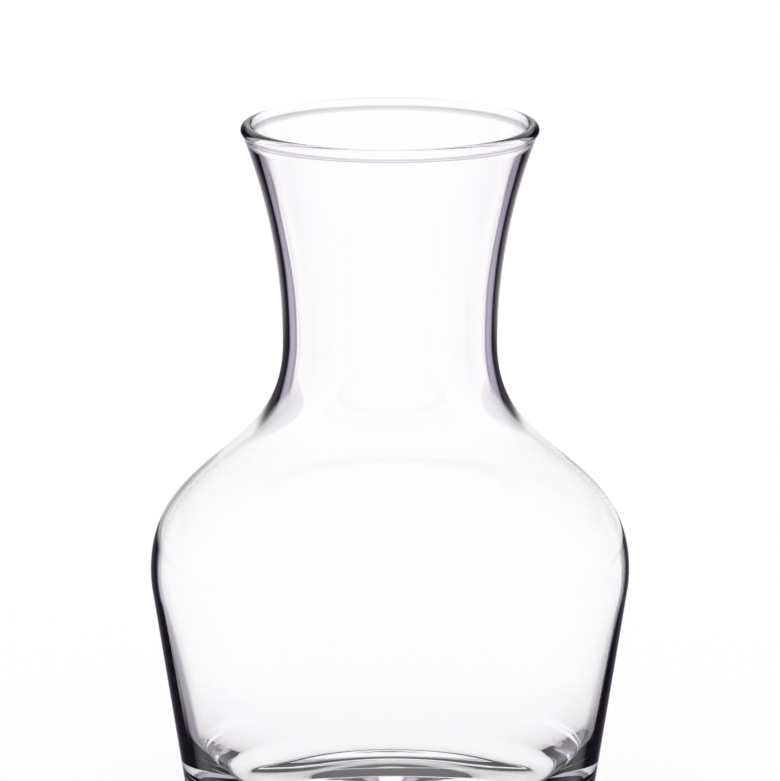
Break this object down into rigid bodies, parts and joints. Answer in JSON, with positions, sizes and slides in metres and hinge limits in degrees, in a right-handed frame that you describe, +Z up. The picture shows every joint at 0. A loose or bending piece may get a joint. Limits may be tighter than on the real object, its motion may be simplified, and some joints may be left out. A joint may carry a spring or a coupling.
{
  "type": "wine carafe",
  "caption": "Clear glass carafe with a flared mouth, rolled lip, narrow throat, round shoulder and tapered body on a thick base, for serving wine at table.",
  "frame": {"origin": "centre of the base, on the surface that the carafe stands on", "axes": "+Z up along the axis of revolution, +X and +Y across it and alike"},
  "size_m": [0.1, 0.1, 0.152],
  "materials": {
    "clear_glass": "fire-polished clear soda-lime glass"
  },
  "bodies": {
    "root": {"base": "clear_glass", "body_wall": "clear_glass", "lower_shoulder": "clear_glass", "upper_shoulder": "clear_glass", "neck": "clear_glass", "lip_bead": "clear_glass"}
  },
  "joints": []
}
